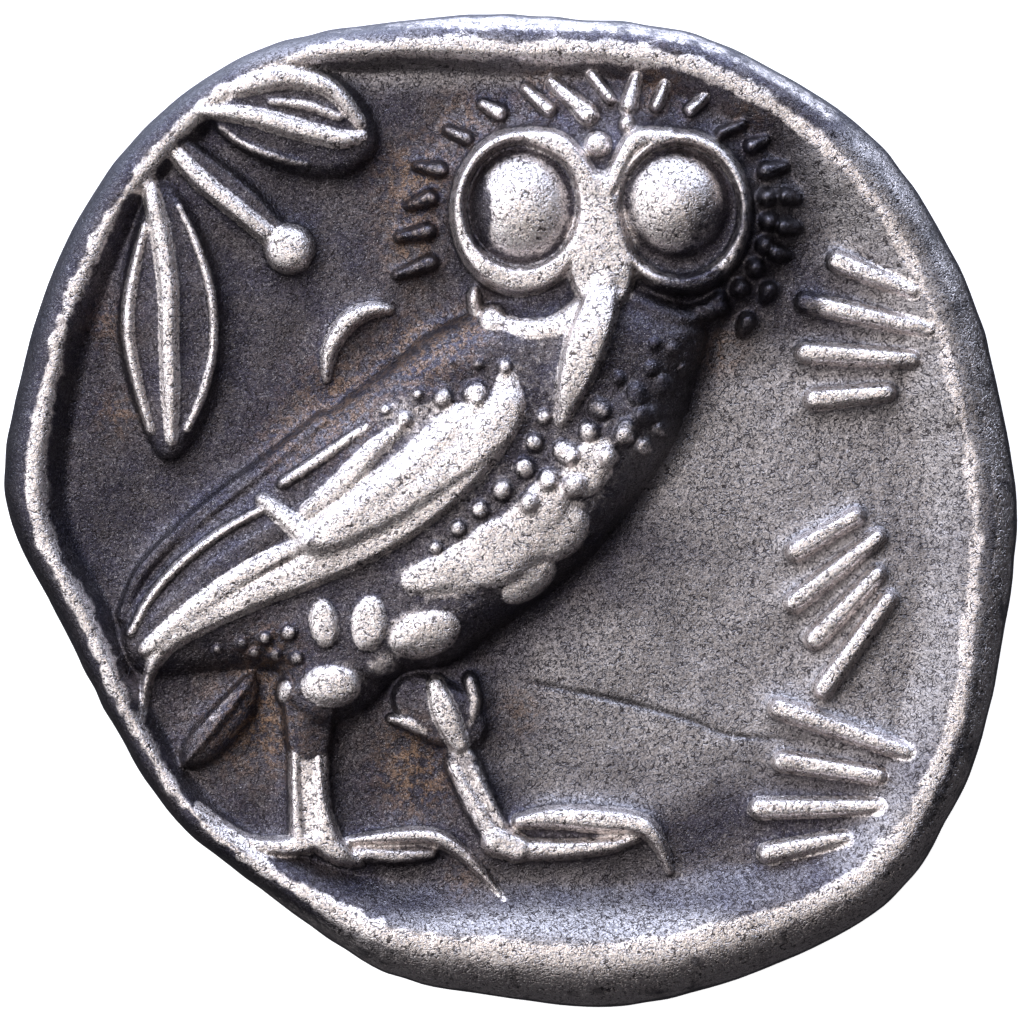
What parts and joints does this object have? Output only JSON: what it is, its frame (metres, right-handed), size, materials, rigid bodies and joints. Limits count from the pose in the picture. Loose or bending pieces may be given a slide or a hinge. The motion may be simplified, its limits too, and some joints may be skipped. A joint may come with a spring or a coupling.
{
  "type": "tetradrachm coin",
  "caption": "Thick worn silver coin of irregular round outline, a standing owl with a leaf sprig in high relief on top and a helmeted head below.",
  "frame": {"origin": "centre of the coin's outline, on the surface that it lies on", "axes": "+Z out of the owl side, which is up, +Y from the owl's feet to its head, +X from its tail to its breast"},
  "size_m": [0.025, 0.0244, 0.0059],
  "materials": {
    "silver": "worn satin silver with bright high points and a dark grey to violet patina in the hollows"
  },
  "bodies": {
    "root": {"coin": "silver"}
  },
  "joints": []
}
